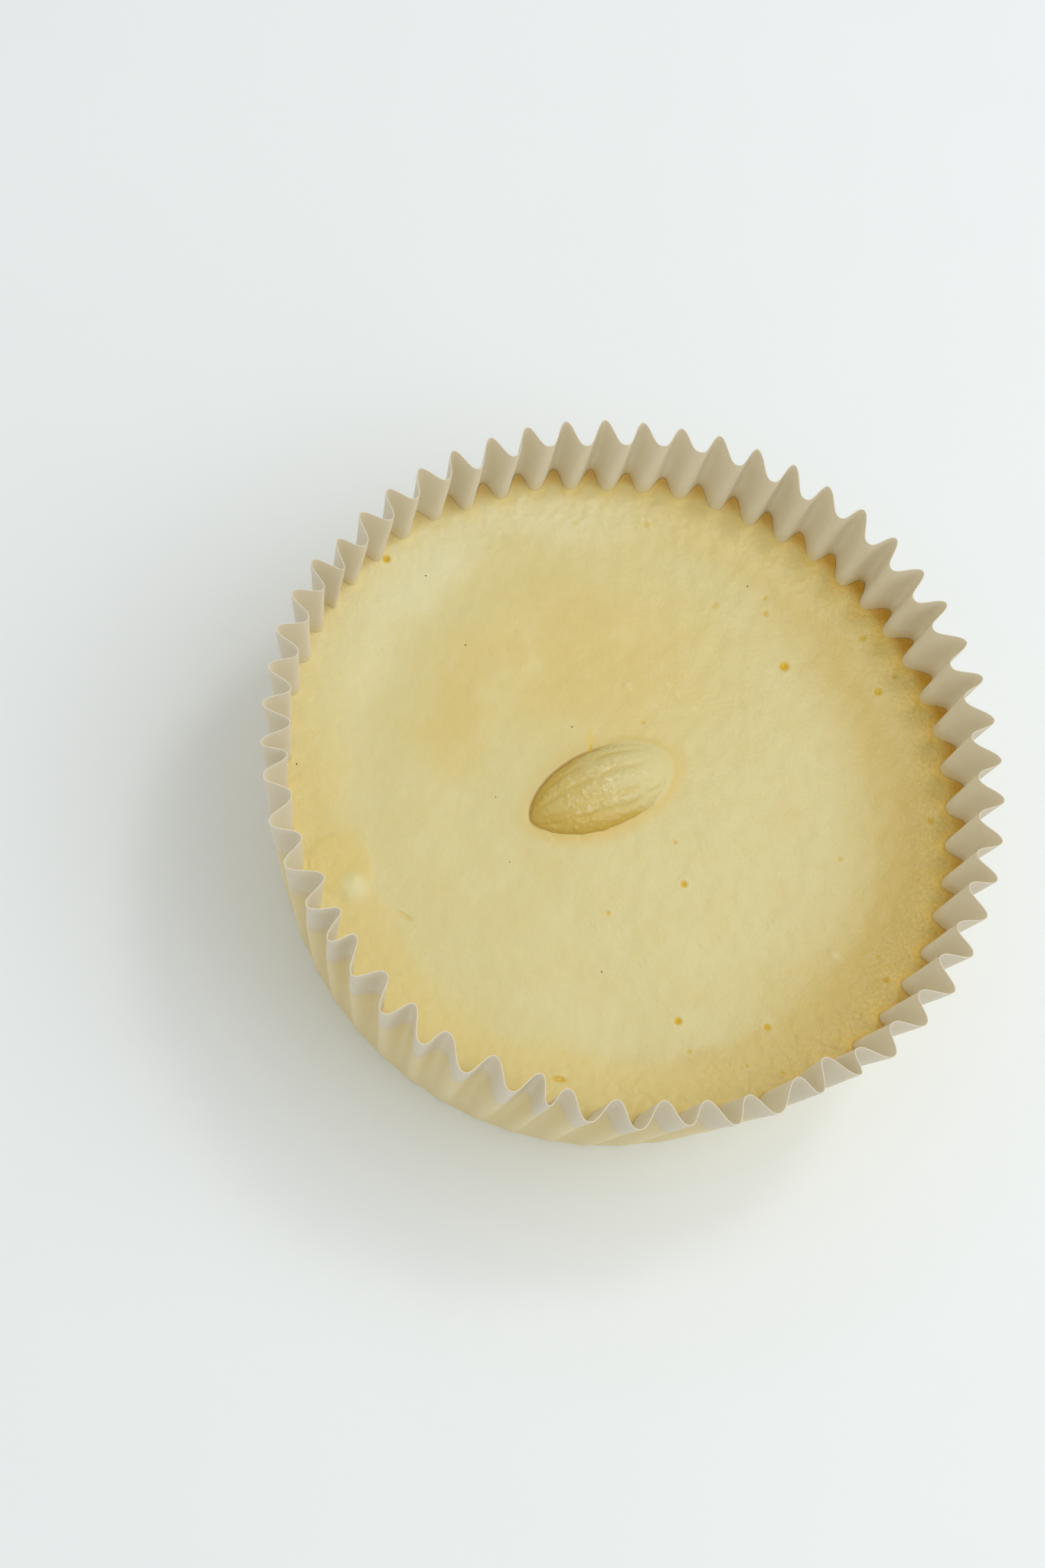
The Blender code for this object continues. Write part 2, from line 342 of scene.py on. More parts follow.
clear_selection()
bpy.ops.mesh.primitive_uv_sphere_add(segments=192, ring_count=200, radius=1)
pod = bpy.context.object
groove_mark, golden_mark, ahead_mark = add_marks(pod, "groove", "golden", "ahead")
even_pod = []
for vertex in pod.data.vertices:
    far, turn = vertex.co.z, math.degrees(math.atan2(vertex.co.y, vertex.co.x)) % 360
    full = max(1 - far * far, 0.0) ** (NEAR_TAPER if far < 0 else FAR_TAPER)
    across, up = math.cos(math.radians(turn)), math.sin(math.radians(turn))
    tall = POD_TOP if up > 0 else POD_BELOW
    place = Vector((far * POD_LENGTH / 2, across * full * POD_WIDTH / 2, up * full * tall))
    even_pod.append(POD_PLACE @ place)
    outward = Vector((0.0, across / POD_WIDTH * 2, up / tall)).normalized()
    fade = soft(full, 0.12, 0.6) * (1 - soft(far, 0.3, 0.75))
    bend = 5 * noise.noise(Vector((far * 2.5, across * 2, 4))) - 9 * far
    uneven = soft(noise.noise(Vector((far * 5, across * 3, up * 3))), -0.6, 0.25)
    groove = groove_at(turn + bend) * fade * uneven
    wart = wart_at(place) * fade * (1 - groove)
    place += outward * (WART * wart - GROOVE_DEEP * groove)
    vertex.co = POD_PLACE @ place
    groove_mark[vertex.index].value = groove
    golden_mark[vertex.index].value = golden_at(far, across, vertex.co.z)
    ahead_mark[vertex.index].value = far
open_mesh(pod)
bpy.ops.mesh.select_all(action="SELECT")
bpy.ops.mesh.normals_make_consistent(inside=False)
close_mesh(pod, "pod_with_ridges", 180)
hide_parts("cocoa_pod")
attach(pod, "root")

# %% [markdown]
# ## The cream
#
# The top starts as a circle with 16 points for each fold. Grid Fill spans it with even square cells, which
# hold fine relief better than a fan of triangles would. The wall is extruded down from the edge, and the
# outline is moved out into the folds of the paper. The cells are cut finer round the pod and at the small
# pits, and then the height of every point of the top is worked out from the dish, the slow swirls and the
# marks.

# %% Model the cream's round, wall and floor
EDGE_STEPS = 16  # points along one fold
ROUND = 54.5 * MM
STILL = 0.7 * ROUND  # out to here the round isn't stretched
BRIM = 29.0 * MM
BRIM_SLANT = BRIM / math.cos(FLARE)
CLEAR = 0.02 * MM  # between the cream and the paper
WALL_SLANTS = [s * MM for s in (22, 14, 7, 2.5, 0.6)]


def fill_folds(piece):
    """Stretches the even round into the folds. Points near the edge are taken along."""
    for vertex in piece.data.vertices:
        angle, radius = math.atan2(vertex.co.y, vertex.co.x), vertex.co.xy.length
        if radius < STILL:
            continue
        top = vertex.co.z > BRIM - TINY
        slant = BRIM_SLANT if top else vertex.co.z
        phase = (math.degrees(angle - FIRST_FOLD) * FOLDS) % (360 * FOLDS)
        edge = inside_sheet(phase, slant, SHEET + CLEAR)
        even = Vector((math.cos(angle), math.sin(angle))) * ROUND
        share = soft(radius, STILL, ROUND) if top else 1.0
        moved = vertex.co.xy + (edge - even) * share
        vertex.co = (moved.x, moved.y, vertex.co.z if top else vertex.co.z * math.cos(FLARE))


clear_selection()
bpy.ops.mesh.primitive_circle_add(vertices=FOLDS * EDGE_STEPS, radius=ROUND, location=(0, 0, BRIM))
cream = bpy.context.object
bpy.ops.object.transform_apply(location=True)
open_mesh(cream)
bpy.ops.mesh.select_all(action="SELECT")
bpy.ops.mesh.fill_grid(span=FOLDS * EDGE_STEPS // 4)
previous = BRIM
pick(cream, "edges", lambda e: e.is_boundary)
for slant in WALL_SLANTS:
    bpy.ops.mesh.extrude_edges_move()
    bpy.ops.transform.translate(value=(0, 0, slant - previous))
    previous = slant
bpy.ops.mesh.edge_face_add()
bpy.ops.mesh.select_all(action="SELECT")
bpy.ops.mesh.normals_make_consistent(inside=False)
bpy.ops.object.mode_set(mode="OBJECT")
fill_folds(cream)
print("cream", len(cream.data.vertices), "vertices")

# %% [markdown]
# ## Marks in the cream
#
# Small bubbles burst at the top while it set and left pits with a deeper yellow skin. A few lumps, a shallow
# pool, a scratch and two drips lie where the photograph shows them. Each was picked one by one, and its place
# is written down in millimetres.

# %% Write down the marks
PITS = (
    (-52.6, 13.7, 0.75, 1.0), (-19.3, 44.3, 0.8, 0.3), (-29.6, 37.8, 0.7, 0.25), (-2.4, 38.0, 0.8, 0.35),
    (4.2, 44.0, 0.55, 0.35), (5.6, 41.5, 0.6, 0.6), (12.7, 34.6, 0.95, 1.0), (21.8, 46.6, 0.7, 0.6),
    (28.4, 39.3, 0.8, 0.95), (29.7, 43.4, 0.55, 0.7), (-2.8, 12.4, 0.45, 0.5), (16.1, -9.0, 0.65, 1.0),
    (7.9, -20.1, 0.42, 0.7), (11.5, -3.4, 0.45, 0.6), (36.2, 9.1, 0.45, 0.55), (46.2, 23.1, 0.65, 0.7),
    (25.9, -30.0, 0.7, 1.0), (38.6, -23.3, 0.65, 1.0), (29.7, -33.5, 0.4, 0.6), (36.1, -32.0, 0.35, 0.6),
    (38.7, -30.8, 0.35, 0.6), (44.2, -28.9, 0.45, 0.7), (48.8, -3.0, 0.4, 0.7), (51.8, -5.9, 0.55, 0.9),
)  # x, y and radius of each pit, and how deep its colour is
LUMPS = (
    (-8.0, 16.9, 0.9, 0.256, 0.35), (-0.6, 20.2, 0.7, 0.192, 0.35), (42.7, -6.5, 1.3, 0.352, 0.5),
    (3.4, 19.2, 0.6, 0.096, 0.35), (-28.5, -38.4, 3.0, 0.352, 1.0), (-28.9, -37.2, 1.1, 0.192, 1.0),
    (-0.4, 37.0, 0.7, 0.096, 0.35),
)  # x, y, radius and height of each lump, and how pale it is
POOL = (-32.0, -36.4, 5.2)  # x, y and radius of a shallow pool of cream with a soft edge
STROKES = (
    (14.2, -48.6, 1.6, 0.65, 25, 1.0, 0.15), (-19.5, -38.2, 2.1, 0.6, 2, 0.35, 0.10),
    (-7.9, 3.3, 1.1, 0.42, -64, 0.8, 0.05),
)  # x, y, half length, half width, turn in degrees, depth of colour and depth of each long mark


def long_mark(x, y, stroke):
    """1 in the middle of a long mark and 0 past its edge."""
    side = math.radians(stroke[4])
    along_it = (x - stroke[0]) * math.cos(side) + (y - stroke[1]) * math.sin(side)
    off_it = (y - stroke[1]) * math.cos(side) - (x - stroke[0]) * math.sin(side)
    return 1 - soft(math.hypot(along_it / stroke[2], off_it / stroke[3]), 0.3, 1.0)


print(len(PITS), "pits,", len(LUMPS), "lumps,", len(STROKES), "long marks")

# %% [markdown]
# ## Where the pod lies
#
# The cream has to know the pod's edge. Rays from above say how high the pod stands over a point, and the
# outline is where its surface passes through the level of the cream. A tree of points then finds the nearest
# of them fast. Near that edge, and at the small marks, the cells are cut finer, so that they can hold the
# detail.

# %% Find the pod's outline
DOWN, UP = Vector((0, 0, -1)), Vector((0, 0, 1))
SKY = 50 * MM  # above everything, where rays start
POD_LEVEL = 27.65 * MM
ALONG = Vector((math.cos(POD_TURN), math.sin(POD_TURN)))
ACROSS = Vector((-ALONG.y, ALONG.x))
OUTLINE_POINTS, HALVINGS = 720, 14
pod_tree = BVHTree.FromPolygons(even_pod, [f.vertices for f in pod.data.polygons])


def pod_top(x, y):
    """The height of the pod's upper face over a point, or 0 beside it."""
    above = pod_tree.ray_cast(Vector((x, y, SKY)), DOWN)[0]
    return above.z if above else 0.0


def outline_point(step):
    """The point where the pod's surface passes through the level of the cream, in one of many directions."""
    side = math.tau * step / OUTLINE_POINTS
    way = Vector((math.cos(side), math.sin(side)))
    near, far = 0.0, 16 * MM
    for _ in range(HALVINGS):
        half = (near + far) / 2
        if pod_top(*(POD_MIDDLE + way * half)) > POD_LEVEL:
            near = half
        else:
            far = half
    return POD_MIDDLE + way * near


def tree_of(points):
    """A tree that finds the nearest of some points on the flat."""
    tree = KDTree(len(points))
    for index, point in enumerate(points):
        tree.insert((point[0], point[1], 0), index)
    tree.balance()
    return tree


outline_tree = tree_of([outline_point(step) for step in range(OUTLINE_POINTS)])
print("the pod's outline has", OUTLINE_POINTS, "points")

# %% Cut finer cells where the detail is small
WIDER = [(sx, sy, long * 1.4, wide * 2.4, *rest) for sx, sy, long, wide, *rest in STROKES]  # with some room


def needs_detail(face):
    """True for a face of the top near the pod's edge, a pit or a long mark."""
    centre = face.calc_center_median()
    if centre.z < BRIM - TINY:
        return False
    x, y = centre.x / MM, centre.y / MM
    beside = outline_tree.find(Vector((centre.x, centre.y, 0)))[2]
    far_half = ALONG.dot(centre.xy - POD_MIDDLE) > 0
    if beside < 1.5 * MM or (far_half and beside < 7 * MM and pod_top(centre.x, centre.y)):
        return True
    if any(math.hypot(x - px, y - py) < 2.1 * size + 0.2 for px, py, size, _ in PITS):
        return True
    return any(long_mark(x, y, stroke) > 0 for stroke in WIDER)


open_mesh(cream, "FACE")
print(pick(cream, "faces", needs_detail), "faces are cut finer")
bpy.ops.mesh.subdivide(number_cuts=2)
bpy.ops.object.mode_set(mode="OBJECT")

# %% [markdown]
# ## Waves and dents
#
# The top is a shallow dish. Slow waves run through it from spreading, faint rings from turning the case, and
# its skin is pebbled on the side of the window. Small dents and bumps are strewn by a seeded dice, and more
# of them are kept on that side.

# %% Shape the waves and strew the dents
PAPER_SAMPLES = 32  # points of the paper's edge in one fold
WINDOW_WAY = (0.84, 0.55)  # roughly the direction that the light comes from
paper_tree = tree_of(
    [inside_sheet(step * 360 / PAPER_SAMPLES, BRIM_SLANT, SHEET) for step in range(FOLDS * PAPER_SAMPLES)]
)


def to_window(x, y):
    """How far a place lies towards the window, in millimetres from the middle."""
    return x * WINDOW_WAY[0] + y * WINDOW_WAY[1]


def dish(radius):
    """The height of the set cream in millimetres: flat in the middle, rising towards the paper."""
    return 27.6 + 0.30 * soft(radius, 20, 44) + 0.70 * soft(radius, 40, 53) + 0.40 * soft(radius, 50, 57)


def wave(x, y, wide, layer):
    """Noise from about -1 to 1, with waves about as wide as given in millimetres; layers differ."""
    return noise.noise(Vector((x / wide, y / wide, layer)))


def swirls(x, y, radius):
    """Slow waves, left as the cream was spread, and the finer pebbling of its skin."""
    side = Vector((x, y)) / max(radius, 1.0) * 1.7
    slow = wave(x, y, 17, 1.3) * 0.24 + wave(x, y, 7, 2.6) * 0.06
    rings = noise.noise(Vector((side.x, side.y, radius / 6.5))) * 0.08 * soft(radius, 8, 22)
    rough = 0.35 + 0.65 * soft(to_window(x, y), -25, 30)
    calm = soft(-to_window(x, y), -10, 35)  # the other side dried smoother
    outer = soft(radius, 43, 51) * (1 - 0.8 * calm)
    return slow + rings + wave(x, y, 2.3, 5.2) * 0.12 * rough + wave(x, y, 1.1, 9.4) * (0.03 + 0.11 * outer)


DENT_HEIGHTS = (-0.07, -0.05, 0.05, 0.07)
dents = random.Random(5)
DENTS = [
    (dents.uniform(-50, 50), dents.uniform(-50, 50), dents.uniform(0.35, 0.9), dents.choice(DENT_HEIGHTS))
    for _ in range(170)
]  # x, y, radius and height of each dent or bump
DENTS = [
    dent for dent in DENTS if math.hypot(*dent[:2]) < 50 and to_window(*dent[:2]) > dents.uniform(-50, 20)
]
dent_tree = tree_of(DENTS)
print(len(DENTS), "dents and bumps")

# %% [markdown]
# ## The cream beside the pod
#
# Under the near half of the pod the cream gets a hollow. Along the pod's edge a crease runs on the upper side
# and a small roll on the lower side. Towards the far end the cream climbs onto the pod and laps over it:
# there its height follows the pod's, averaged over a small disc, so that the two run into each other without
# a step.

# %% Shape the cream beside the pod
DISC = [(0.0, 0.0)]
for ring, count in ((0.7, 6), (1.4, 11)):
    turns = [math.tau * n / count for n in range(count)]
    DISC += [(ring * math.cos(turn), ring * math.sin(turn)) for turn in turns]
POD_REACH = 16  # past this the pod changes nothing
LAP_WIDE = 2.2  # how far out of the pod's outline the cream climbs
LAP_THICK = 0.14  # how thick it lies over the pod


def pod_rise(spot, height):
    """How far the pod stands above the cream in millimetres, on average over a small disc."""
    tops = [pod_top(spot.x + dx * MM, spot.y + dy * MM) / MM - height for dx, dy in DISC]
    return sum(max(top, 0.0) for top in tops) / len(DISC)


def beside_pod(spot, height, beside):
    """The cream's height in millimetres near the pod, and how much of the pod it hides there."""
    far = ALONG.dot(spot - POD_MIDDLE) / POD_LENGTH * 2
    across = ACROSS.dot(spot - POD_MIDDLE) / MM
    inside = pod_top(spot.x, spot.y) > POD_LEVEL
    if inside and beside > 0.8 and far < 0.05:
        underside = pod_tree.ray_cast(Vector((spot.x, spot.y, 0.0)), UP)[0]
        return underside.z / MM - 0.1, 0.0
    share = soft(far + 0.2 * noise.noise(spot.to_3d() * 350), 0.12, 0.78)
    crease = -0.20 * soft(across, -3, 2) * (0.25 + 0.75 * soft(far, -0.1, -0.5)) + 0.16 * soft(across, 0, -3)
    crease *= (1 - soft(far, -0.2, 0.45)) * math.exp(-beside / 0.35)
    height += crease + (1 - share) * 0.08 * math.exp(-beside / 1.8)
    if share == 0 or (beside > LAP_WIDE and not inside):
        return height, 0.0
    rise = pod_rise(spot, height)
    hidden = soft(rise, 0.05, 0.5) * soft(share, 0.1, 0.8)
    return height + share * (rise + LAP_THICK * soft(rise, 0.0, 0.3)), hidden


print("the pod's height is averaged over", len(DISC), "points")

# %% [markdown]
# ## Relief of the top
#
# All the forms above are added up here, point by point. The finishes will need to know what lies where, so
# each point also keeps its distance from the paper and the pod, and how much it belongs to a pit, a lump or
# the lap.

# %% Give the top its relief
edge_mark, spot_mark, pale_mark, pod_mark, lap_mark = add_marks(
    cream, "edge", "spot", "pale", "beside_pod", "lap"
)
for vertex in cream.data.vertices:
    if vertex.co.z < BRIM - TINY:
        edge_mark[vertex.index].value = -1
        continue
    flat = Vector((vertex.co.x, vertex.co.y, 0))
    x, y, radius = flat.x / MM, flat.y / MM, flat.length / MM
    edge = paper_tree.find(flat)[2] / MM
    climb = (0.25 + 0.75 * soft(radius, 54.5, 57.5)) * 0.6 * math.exp(-edge / 0.7)  # up the paper
    height = dish(radius) + swirls(x, y, radius) + climb
    _, index, away = dent_tree.find((x, y, 0))
    _, _, size, high = DENTS[index]
    height += high * (1 - soft(away / size, 0, 1))
    pool = math.hypot(x - POOL[0], y - POOL[1]) / POOL[2]
    height += 0.12 * (1 - soft(pool, 0.9, 1.05)) - 0.12 * (1 - soft(pool, 0, 0.95))
    spot = pale = 0.0
    for px, py, size, deep in PITS:
        away = math.hypot(x - px, y - py) / size
        if away < 3:
            rim = 0.06 * math.exp(-((away - 1.5) ** 2) * 4)
            height += size * deep * (rim - 0.30 * (1 - soft(away, 0.1, 1.15)))
            spot = max(spot, deep * (1 - soft(away, 0.45, 1.2)))
            pale = max(pale, 0.15 * deep * math.exp(-((away - 1.9) ** 2) * 2))
    for px, py, size, high, white in LUMPS:
        away = math.hypot(x - px, y - py) / size
        if away < 1.5:
            height += high * (1 - soft(away, 0.0, 1.1))
            pale = max(pale, white * (1 - soft(away, 0.2, 1.1)))
    for stroke in STROKES:
        px, py, long, _, _, dark, deep = stroke
        if math.hypot(x - px, y - py) < 2 * long:
            inside = long_mark(x, y, stroke)
            height -= deep * inside
            spot = max(spot, dark * inside)
    beside = outline_tree.find(flat)[2] / MM
    lapped = 0.0
    if beside < POD_REACH:
        height, lapped = beside_pod(flat.xy, height, beside)
    vertex.co.z = height * MM
    edge_mark[vertex.index].value = edge
    spot_mark[vertex.index].value = spot
    pale_mark[vertex.index].value = pale
    pod_mark[vertex.index].value = beside
    lap_mark[vertex.index].value = lapped
close_mesh(cream, "set_cream", 60)
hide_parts("terrine")
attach(cream, "root")

# %% [markdown]
# ## Vanilla specks
#
# A few dark grains of vanilla lie in the skin of the cream. One flattened grain is modelled and copied. Each
# copy is turned its own way and set on the cream by a ray from above.

# %% Model the specks
SPECKS = (
    (-34.1, 7.9, 0.15), (-12.3, 5.1, 0.15), (-46.4, -25.8, 0.15), (-45.7, 14.9, 0.15), (0.7, 44.2, 0.15),
    (11.7, -29.3, 0.15), (-16.9, -12.6, 0.11), (-9.6, -21.1, 0.11),
)  # x, y and radius
GRAIN_SHAPE = (1.0, 0.7, 0.45)  # longer than wide, and flat
GRAIN_TURN = 1.1
cream_points, cream_faces = [v.co for v in cream.data.vertices], [f.vertices for f in cream.data.polygons]
cream_tree = BVHTree.FromPolygons(cream_points, cream_faces)
clear_selection()
bpy.ops.mesh.primitive_ico_sphere_add(subdivisions=2, radius=MM)
grain = bpy.context.object
grain.scale = GRAIN_SHAPE
bpy.ops.object.transform_apply(scale=True)
copies = []
for number, (x, y, size) in enumerate(SPECKS):
    clear_selection()
    grain.select_set(True)
    bpy.context.view_layer.objects.active = grain
    bpy.ops.object.duplicate()
    copy = bpy.context.object
    copy.location = cream_tree.ray_cast(Vector((x * MM, y * MM, SKY)), DOWN)[0]
    copy.rotation_euler.z = number * GRAIN_TURN
    copy.scale = (size, size, size)
    bpy.ops.object.transform_apply(location=True, rotation=True, scale=True)
    copies.append(copy)
bpy.data.objects.remove(grain)
for copy in copies:
    copy.select_set(True)
bpy.ops.object.join()
specks = bpy.context.object
open_mesh(specks)
close_mesh(specks, "vanilla_specks", 180)
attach(specks, "root")

# %% [markdown]
# ## Finishes
#
# Shader maths reads as sums here: an `Amount` wraps a socket, and arithmetic on it adds Math nodes. A
# `Finish` is a material that can add any node, blend colours, and lay a soft oval patch at a place given in
# millimetres.

# %% A number that changes over a surface
class Amount:
    """A number that changes over a surface."""

    def __init__(self, finish, socket):
        self.finish, self.socket = finish, socket

    def math(self, operation, first, second):
        return self.finish.node("ShaderNodeMath", {"operation": operation}, {0: first, 1: second})

    def __add__(self, other):
        return self.math("ADD", self, other)

    def __sub__(self, other):
        return self.math("SUBTRACT", self, other)

    def __mul__(self, other):
        return self.math("MULTIPLY", self, other)

    __radd__, __rmul__ = __add__, __mul__


# %% A finish
FAT_IOR = 1.45
LIGHT_DEPTH = 0.5 * MM  # how far light goes into cream and white chocolate


class Finish:
    """A material under a plain name, with its nodes added one by one."""

    def __init__(self, name):
        self.material = bpy.data.materials.new(name)
        self.material.use_nodes = True
        self.tree = self.material.node_tree
        self.tree.nodes.clear()
        self.end = self.tree.nodes.new("ShaderNodeOutputMaterial")
        self.place = self.node("ShaderNodeTexCoord", out="Object")

    def plug(self, socket, value):
        """Sets a socket's value or links it."""
        if isinstance(value, Amount):
            self.tree.links.new(value.socket, socket)
        elif socket.type == "RGBA" and len(value) == 3:
            socket.default_value = (*value, 1.0)
        else:
            socket.default_value = value

    def node(self, kind, settings=None, sockets=None, out=0):
        """Adds a node: its settings first, then the values or links of its sockets."""
        made = self.tree.nodes.new(kind)
        for name, value in (settings or {}).items():
            setattr(made, name, value)
        for name, value in (sockets or {}).items():
            self.plug(made.inputs[name], value)
        return Amount(self, made.outputs[out])

    def vector(self, operation, *values, out=0):
        """Adds a node for maths on vectors, such as places."""
        return self.node("ShaderNodeVectorMath", {"operation": operation}, dict(enumerate(values)), out)

    def blend(self, first, second, amount):
        """The first colour where the amount is 0, the second where it is 1."""
        sockets = {0: amount, 6: first, 7: second}
        return self.node("ShaderNodeMix", {"data_type": "RGBA"}, sockets, 2)

    def step(self, value, start, end):
        """A soft step from 0 at start to 1 at end."""
        sockets = {"Value": value, "From Min": start, "From Max": end}
        return self.node("ShaderNodeMapRange", {"interpolation_type": "SMOOTHSTEP"}, sockets)

    def cloud(self, size, detail=2, where=None, out="Fac"):
        """Cloudy noise from 0 to 1, with features of about that many millimetres."""
        sockets = {"Vector": where or self.place, "Scale": 1 / (size * MM), "Detail": detail}
        return self.node("ShaderNodeTexNoise", {}, sockets, out)

    def patch(self, where, x, y, wide, tall, turn=0, core=0.3):
        """1 in the core of an oval at x, y with these half sizes in millimetres, and 0 past its edge."""
        place = {
            "Vector": where, "Location": (x * MM, y * MM, 0), "Rotation": (0, 0, math.radians(turn)),
            "Scale": (wide * MM, tall * MM, 1),
        }
        moved = self.node("ShaderNodeMapping", {"vector_type": "TEXTURE"}, place)
        return self.step(self.vector("LENGTH", moved, out="Value"), 1.0, core)

    def mark(self, name):
        """A number kept on the mesh's points."""
        return self.node("ShaderNodeAttribute", {"attribute_name": name}, out="Fac")

    def bump(self, height, deep):
        """A Bump node for a height from 0 to 1 that stands for a depth in millimetres."""
        return self.node("ShaderNodeBump", {}, {"Height": height, "Distance": deep * MM, "Strength": 1.0})

    def food(self, colour, rough, bump, depths):
        """A shader that lets light a little way in, red deeper than blue, as fat and milk do."""
        sockets = {
            "Base Color": colour, "Roughness": rough, "Normal": bump, "IOR": FAT_IOR,
            "Subsurface Weight": 0.4, "Subsurface Radius": depths, "Subsurface Scale": LIGHT_DEPTH,
        }
        return self.node("ShaderNodeBsdfPrincipled", {}, sockets)

    def cover(self, shader, *pieces):
        """Ends the material with a shader and lays it on pieces."""
        self.tree.links.new(shader.socket, self.end.inputs["Surface"])
        for piece in pieces:
            piece.data.materials.clear()
            piece.data.materials.append(self.material)
        print("finish", self.material.name, len(self.tree.nodes), "nodes")


# %% Colours of the cream
def screen(red, green, blue):
    """A colour as a paint program writes it, 0 to 255, made linear for the shader."""
    return tuple(((c / 255 + 0.055) / 1.055) ** 2.4 for c in (red, green, blue))


CREAM = screen(212, 200, 141)
WARM = screen(212, 190, 114)
DEEP = screen(216, 194, 112)
PALE = screen(219, 210, 158)
LIT_CREAM = screen(222, 218, 180)
LEMON = screen(224, 210, 146)
TANNED_AND_SHADED = screen(203, 176, 90)
CRUST_AND_LIGHT = screen(222, 195, 108)
BUTTER_AND_LIGHT = screen(230, 194, 84)
CRUMB_AND_SHADE, CRUMB_AND_HIGHLIGHT = screen(194, 158, 66), screen(232, 209, 122)
CONTACT_SHADE = screen(204, 152, 40)
FOLD_SHADE = screen(210, 160, 44)
PEACH = screen(214, 184, 98)
CREASE_SHADE = screen(176, 130, 24)
SMEAR = screen(220, 188, 84)
DROP = screen(210, 173, 18)
POD_END = screen(214, 201, 142)
print("the cream in linear light", [round(c, 2) for c in CREAM])

# %% [markdown]
# ## The cream's finish
#
# Set white chocolate cream is pale yellow, a little translucent and softly shiny. Slow clouds of paler and
# warmer cream run through it, and a drifting noise bends their edges. Each colour is laid over the last with
# a mask that says where it belongs, as a painter would do it: broad patches first, then thin lines. The paler
# band on the left and the paler rim at the top left are painted light, and the darker yellow on the right is
# partly painted shade.

# %% Places and directions on the cream
finish = Finish("set white chocolate cream")
flat = finish.vector("MULTIPLY", finish.place, (1, 1, 0))
drift = finish.vector("SUBTRACT", finish.cloud(17, 2, flat, "Color"), (0.5, 0.5, 0.5))
warped = finish.vector("ADD", flat, finish.vector("MULTIPLY", drift, (13 * MM, 13 * MM, 13 * MM)))
warped_radius = finish.vector("LENGTH", warped, out="Value")
true_radius = finish.vector("LENGTH", flat, out="Value")
way = finish.vector("NORMALIZE", flat)
edge, spot, pale, beside, lap = [finish.mark(name) for name in ("edge", "spot", "pale", "beside_pod", "lap")]


def towards(degrees, start, end):
    """1 on the side of the round that faces a direction, 0 on the other side."""
    side = (math.cos(math.radians(degrees)), math.sin(math.radians(degrees)), 0)
    return finish.step(finish.vector("DOT_PRODUCT", way, side, out="Value"), start, end)


def outside(radius, start, end):
    """0 inside a first radius in millimetres, 1 outside a second one."""
    return finish.step(radius, start * MM, end * MM)


right, bottom, top = towards(25, 0.30, 0.85), towards(-98, 0.10, 0.75), towards(75, 0.0, 0.8)
left_top, lower_right = towards(165, 0.5, 0.95), towards(-15, 0.60, 0.90)
print("places and directions take", len(finish.tree.nodes), "nodes")

# %% Lay the broad patches
mottle = finish.cloud(7, 3) - 0.5
colour = finish.blend(CREAM, WARM, finish.patch(warped, -14, 18, 34, 26, 25, 0.1) * 0.8)
colour = finish.blend(colour, WARM, finish.patch(warped, -30, -4, 9, 20, 12, 0.1) * 0.7)
# Painted light: a pale band on the left, where the rising edge faces the window.
colour = finish.blend(colour, PALE, finish.patch(warped, -46, 6, 9, 30, 5, 0.1) * 0.8)
colour = finish.blend(colour, WARM, finish.step(mottle, 0.0, 0.35) * 0.35)
colour = finish.blend(colour, PALE, finish.step(mottle, 0.0, -0.35) * 0.35)
# Painted light: the outer ring at the top left, and the cream by the paper there, are made paler against the
# shade of the paper wall.
colour = finish.blend(colour, PALE, left_top * outside(warped_radius, 44, 50) * 0.8)
colour = finish.blend(colour, WARM, top * outside(warped_radius, 40, 48) * 0.45)
paler = towards(145, 0.75, 0.98) * outside(warped_radius, 42, 50) * finish.step(edge, 0.3, 3.0)
colour = finish.blend(colour, LIT_CREAM, paler * 0.4)
# A darker, deeper yellow on the right: partly the skin's own colour, partly painted shade where the edge rises
# away from the window.
colour = finish.blend(colour, TANNED_AND_SHADED, right * outside(warped_radius, 31, 51) * 0.7)
inner_line = outside(true_radius + mottle * (5 * MM), 43.6, 46.4)
colour = finish.blend(colour, TANNED_AND_SHADED, lower_right * inner_line * 0.5)
colour = finish.blend(colour, DEEP, bottom * outside(warped_radius, 44, 49) * 0.5)
pool_x, pool_y, pool_radius = POOL
pool = finish.patch(flat, pool_x, pool_y, pool_radius * 1.05, pool_radius, 20, 0.86)
colour = finish.blend(colour, DEEP, pool * 0.45)
print("with the broad patches", len(finish.tree.nodes), "nodes")

# %% [markdown]
# ## The cream beside the paper
#
# The skin dried first against the paper, where it is a deeper yellow, and on the side of the window it has
# crumbs, whose pale and dark specks are partly painted highlight and shade. On that side the yellow by the
# paper is also brightened, as painted light against the shadow of the paper wall. A thin darker line of painted
# contact shade runs where it touches the paper, and the cream in the outer folds is golden, with painted shade
# on the top and right. Round the pod it is warmer, with a brown crease of painted shade on the upper side, and
# the marks get their colours from the numbers kept above.

# %% Lay the colours beside the paper
crumbs = finish.cloud(0.6, 3, flat)
top_right = towards(72, 0.72, 0.95) * outside(warped_radius, 46, 51)
colour = finish.blend(colour, LEMON, top_right * 0.35)
# By the paper the skin is a deeper yellow. On the right it is also brightened, as painted light against the
# shadow of the paper wall.
near_paper = finish.step(edge + (crumbs - 0.5) * 2.0, 6.0, 1.5)
colour = finish.blend(colour, CRUST_AND_LIGHT, near_paper * (0.1 + 0.45 * right + 0.05 * top))
beside_paper = finish.step(edge + (crumbs - 0.5) * 1.5, 2.2, 0.3)
colour = finish.blend(colour, BUTTER_AND_LIGHT, beside_paper * (0.1 + 0.55 * right + 0.1 * top))
